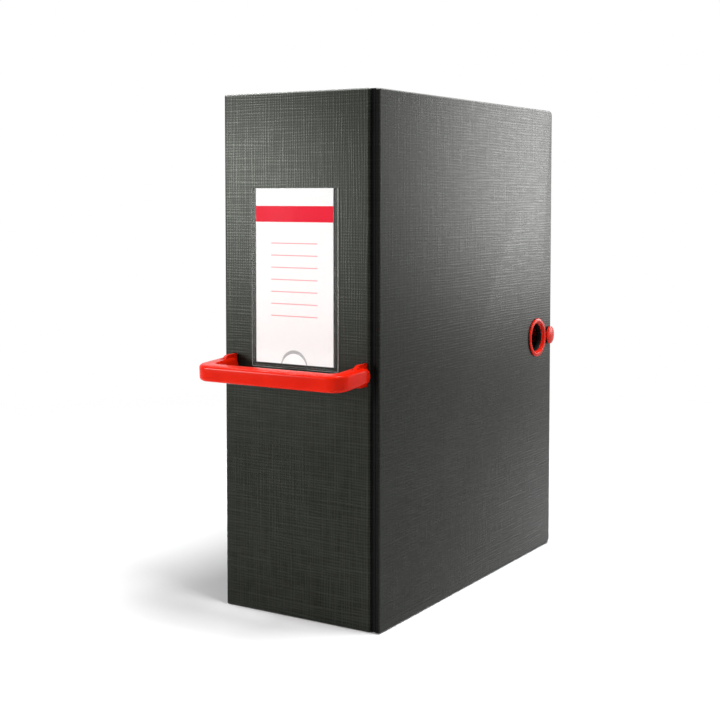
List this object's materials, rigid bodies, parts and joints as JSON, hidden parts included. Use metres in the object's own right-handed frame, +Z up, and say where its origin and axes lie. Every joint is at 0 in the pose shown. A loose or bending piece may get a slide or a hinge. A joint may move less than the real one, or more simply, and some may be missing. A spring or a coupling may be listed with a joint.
{
  "type": "archive storage box",
  "caption": "Upright covered-board archive box with a hinged lid, a clear label pocket and a folding handle on its spine, a finger ring and a snap fastener.",
  "frame": {"origin": "middle of the case's footprint, on the surface the box stands on", "axes": "+Z up along the spine, -Y out of the spine towards the viewer, +X out of the lid"},
  "size_m": [0.1274, 0.3154, 0.355],
  "materials": {
    "covered_board": "black linen-embossed covering paper, faint satin sheen",
    "inner_tray": "plain black board paper, matt",
    "red_plastic": "glossy moulded plastic",
    "clear_film": "clear soft film, glossy",
    "card": "smooth white card"
  },
  "bodies": {
    "root": {"tray": "inner_tray", "cover": "covered_board", "hinge_strip": "covered_board", "snap_socket": "red_plastic", "label_pocket": "clear_film", "label_card": "card", "handle_anchor_left": "red_plastic", "handle_anchor_right": "red_plastic"},
    "lid": {"lid_board": "covered_board", "finger_ring": "red_plastic", "finger_ring_backing": "red_plastic", "snap_cap": "red_plastic", "snap_stud": "red_plastic"},
    "handle": {"handle": "red_plastic"}
  },
  "joints": [
    {"name": "lid_hinge", "type": "hinge", "parent": "root", "child": "lid", "pos_m": [0.061, -0.136, 0.1775], "axis": [0, 0, -1], "range_deg": [0, 180]},
    {"name": "handle_pivot", "type": "hinge", "parent": "root", "child": "handle", "pos_m": [-0.0008, -0.1434, 0.1695], "axis": [1, 0, 0], "range_deg": [-93.5, 86.5]}
  ]
}
